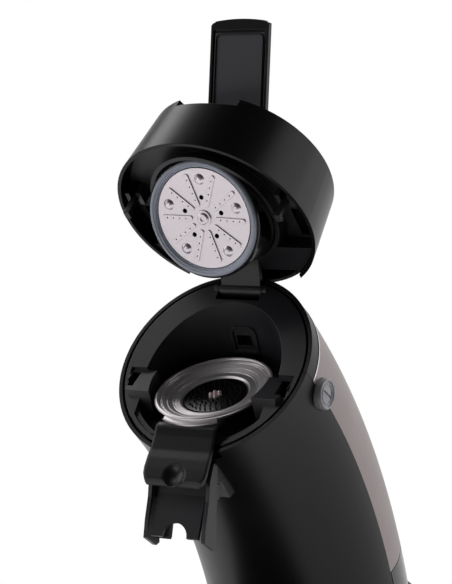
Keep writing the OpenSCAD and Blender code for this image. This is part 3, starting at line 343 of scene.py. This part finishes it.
# %% Model the lever bead
inset_tip = math.radians(60.2)
inset_out = square_to(inset_tip)
bead_width = 36.4 * MM
bead_length = 55.0 * MM
bead_border = 1.1 * MM
bead_height = 0.7 * MM
corner_radius = 4 * MM
above_middle = 0.45 * MM
bead_place = middle("lever_inset") + inset_out * above_middle
start()
bpy.ops.mesh.primitive_plane_add(size=1)
bead = bpy.context.object
bead.matrix_world = (Matrix.Translation(bead_place) @ Matrix.Rotation(inset_tip, 4, "X")
                     @ Matrix.Diagonal((bead_width, bead_length, 1, 1)))
bpy.ops.object.transform_apply(location=True, rotation=True, scale=True)
bpy.ops.object.mode_set(mode="EDIT")
bpy.ops.mesh.select_all(action="SELECT")
bpy.ops.mesh.bevel(offset=corner_radius, segments=6, affect="VERTICES")
bpy.ops.mesh.select_all(action="SELECT")
bpy.ops.mesh.inset(thickness=bead_border)
bpy.ops.mesh.delete(type="FACE")
bpy.ops.mesh.select_all(action="SELECT")
bpy.ops.mesh.extrude_region_move(TRANSFORM_OT_translate={"value": inset_out * bead_height})
bpy.ops.mesh.select_all(action="SELECT")
bpy.ops.mesh.normals_make_consistent(inside=False)
bpy.ops.object.mode_set(mode="OBJECT")
rounding = bead.modifiers.new("rounding", "BEVEL")
rounding.width = 0.3 * MM
rounding.segments = 2
rounding.limit_method = "ANGLE"
bpy.ops.object.modifier_apply(modifier="rounding")
settle("lever_bead", "lever", handle)

# %% [markdown]
# ## Thumb dish
# The grip has a shallow round dish for the thumb. It is the lowest part of a sphere that dips into the
# grip: the sphere is cut off just under the grip's surface, and the cap that is left gets a wall, which
# lines the dish smoothly.

# %% Model the thumb dish
dip_centre = Vector((0, -64.13, 226.8)) * MM
dip_radius = 11.8 * MM
dip_above_cut = 9.3 * MM
grip_out = Vector((0, -0.612, 0.790))
start()
bpy.ops.mesh.primitive_uv_sphere_add(segments=64, ring_count=48, radius=dip_radius, location=dip_centre)
bpy.ops.object.transform_apply(location=True)
bpy.ops.object.mode_set(mode="EDIT")
bpy.ops.mesh.select_all(action="SELECT")
bpy.ops.mesh.bisect(plane_co=dip_centre - grip_out * dip_above_cut, plane_no=grip_out, clear_outer=True)
bpy.ops.object.mode_set(mode="OBJECT")
wall = bpy.context.object.modifiers.new("wall", "SOLIDIFY")
wall.thickness = 0.5 * MM
wall.offset = 1
bpy.ops.object.modifier_apply(modifier="wall")
settle("thumb_dish", "pod_holder", handle)

# %% [markdown]
# ## Rings of the side caps
# Each cap is a little glassy stud with a rounded lip and a shallow ring inside it. The right side is
# modelled and the left is a copy with its own mesh, moved across.

# %% Model the cap rings
cap_middle = middle("side_caps")
inside_face = 0.25 * MM
ring_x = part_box("side_caps")[1].x - inside_face
facing_sideways = (0, math.radians(90), 0)
cap_rings = [(9.1, 0.9), (6.3, 0.45)]
for number, (radius, thickness) in enumerate(cap_rings, start=1):
    centre = (ring_x, cap_middle.y, cap_middle.z)
    right_ring = ring(
        f"cap_ring_right_{number}", "base", cap, centre, radius, thickness, facing_sideways, segments=72)
    left_ring = right_ring.copy()
    left_ring.data = right_ring.data.copy()
    left_ring.data.transform(Matrix.Translation((-2 * ring_x, 0, 0)))
    left_ring.name = f"cap_ring_left_{number}"
    bpy.context.collection.objects.link(left_ring)
    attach(left_ring, "base")

# %% [markdown]
# ## Studio
# The floor is pale and takes the machine's shadow. Further out Light Path makes it plain white to the
# camera, and in reflections nearly so. The world behind is white to the camera alone and dim to all else,
# so no lamp has to be turned up until it washes out the machine. A soft step on the distance from the
# middle, between two radii in metres, blends the lit floor into the white.

# %% Floor
lit_floor_ends = 0.085
white_starts = 0.15
white_in_reflections = 0.9
start()
bpy.ops.mesh.primitive_plane_add(size=8, location=(0, 0, 0))
floor = bpy.context.object
floor.name = "floor"
paint = Finish("floor_white", roughness=0.85)
cloud = paint.noise(scale=6, detail=2)
paint.set(base_color=paint.mix(cloud, (0.80, 0.80, 0.80), (0.77, 0.77, 0.77)))
away = paint.node("ShaderNodeVectorMath", {"operation": "LENGTH"}, {0: paint.place}, output=1)
far = paint.node("ShaderNodeMapRange", {"interpolation_type": "SMOOTHSTEP"},
                 {"Value": away, "From Min": lit_floor_ends, "From Max": white_starts})
seen = paint.node("ShaderNodeLightPath", output="Is Camera Ray")
mirrored = paint.node("ShaderNodeLightPath", output="Is Glossy Ray")
white = paint.node("ShaderNodeEmission", None, {"Color": (1, 1, 1)})
lit = Value(paint, paint.shader.outputs[0])
how_white = far * seen + mirrored * white_in_reflections
blend = paint.node("ShaderNodeMixShader", None, {0: how_white, 1: lit, 2: white})
paint.tree.links.new(blend.socket, paint.out.inputs[0])
floor.data.materials.append(paint.material)

# %% World
glow_on_machine = 0.035
white_to_camera = 1.0
world = bpy.data.worlds.new("studio")
bpy.context.scene.world = world
world.use_nodes = True
tree = world.node_tree
dim = tree.nodes["Background"]
bright = tree.nodes.new("ShaderNodeBackground")
for background, strength in [(dim, glow_on_machine), (bright, white_to_camera)]:
    background.inputs["Color"].default_value = (1, 1, 1, 1)
    background.inputs["Strength"].default_value = strength
path = tree.nodes.new("ShaderNodeLightPath")
both = tree.nodes.new("ShaderNodeMixShader")
tree.links.new(path.outputs["Is Camera Ray"], both.inputs[0])
tree.links.new(dim.outputs[0], both.inputs[1])
tree.links.new(bright.outputs[0], both.inputs[2])
tree.links.new(both.outputs[0], tree.nodes["World Output"].inputs["Surface"])

# %% [markdown]
# ## Lamps
# Black plastic shows its form by what it mirrors. A wide soft wall behind lights the silhouettes, a panel
# on the left draws the rim and the lid, a panel on the right draws the rear cover, a low one in front
# fills the steel of the water disc, one behind on the left edges the column and the lid, and one high on
# the left shines into the open head. The rest stays dark, so black stays black.

# %% Add the lamps
def soft_lamp(name, place, target, width, height, power):
    """A rectangular lamp that looks at its target. Places and sizes are in metres, the power in watts."""
    lamp = bpy.data.lights.new(name, "AREA")
    lamp.shape = "RECTANGLE"
    lamp.size = width
    lamp.size_y = height
    lamp.energy = power
    stand = bpy.data.objects.new(name, lamp)
    bpy.context.collection.objects.link(stand)
    stand.location = place
    stand.rotation_euler = (Vector(target) - Vector(place)).to_track_quat("-Z", "Y").to_euler()
    stand.visible_camera = False
    print(f"{name}: {power} W")


open_head = (0, 0, 0.28)
soft_lamp("wall", (0.1, 1.9, 0.55), open_head, 3.2, 1.3, 9.0)
soft_lamp("left_panel", (-1.5, -0.1, 0.9), open_head, 1.1, 1.0, 5.5)
soft_lamp("right_panel", (1.4, 0.9, 0.75), open_head, 0.9, 1.3, 5.5)
soft_lamp("low_front", (-0.8, -1.4, 0.62), (0, 0, 0.30), 0.9, 0.36, 2.6)
soft_lamp("back_left", (-1.3, 1.3, 1.1), open_head, 1.2, 0.7, 7.5)
soft_lamp("upper_left", (-1.0, 0.0, 1.75), open_head, 0.8, 0.8, 2.6)

# %% [markdown]
# ## Camera
# The camera looks down at the open head from the front right, from far enough that the machine looks
# natural, and it is tipped a little so that the machine leans to the left in the picture.

# %% Place the camera
lens = bpy.data.cameras.new("camera")
lens.sensor_fit = "VERTICAL"
lens.sensor_height = 36
lens.lens = 148.07
camera = bpy.data.objects.new("camera", lens)
bpy.context.collection.objects.link(camera)
bpy.context.scene.camera = camera
view_right = Vector((0.86343, 0.45643, -0.21487))
view_up = Vector((-0.03320, 0.47642, 0.87859))
view_back = view_right.cross(view_up)
rim_middle = Vector((0, 0.01517, 0.258))
camera_place = rim_middle + Vector((0.78285, -1.13563, 0.69825))
camera_turn = Matrix((view_right, view_up, view_back)).transposed().to_4x4()
camera.matrix_world = Matrix.Translation(camera_place) @ camera_turn
bpy.context.scene.view_settings.view_transform = "Standard"
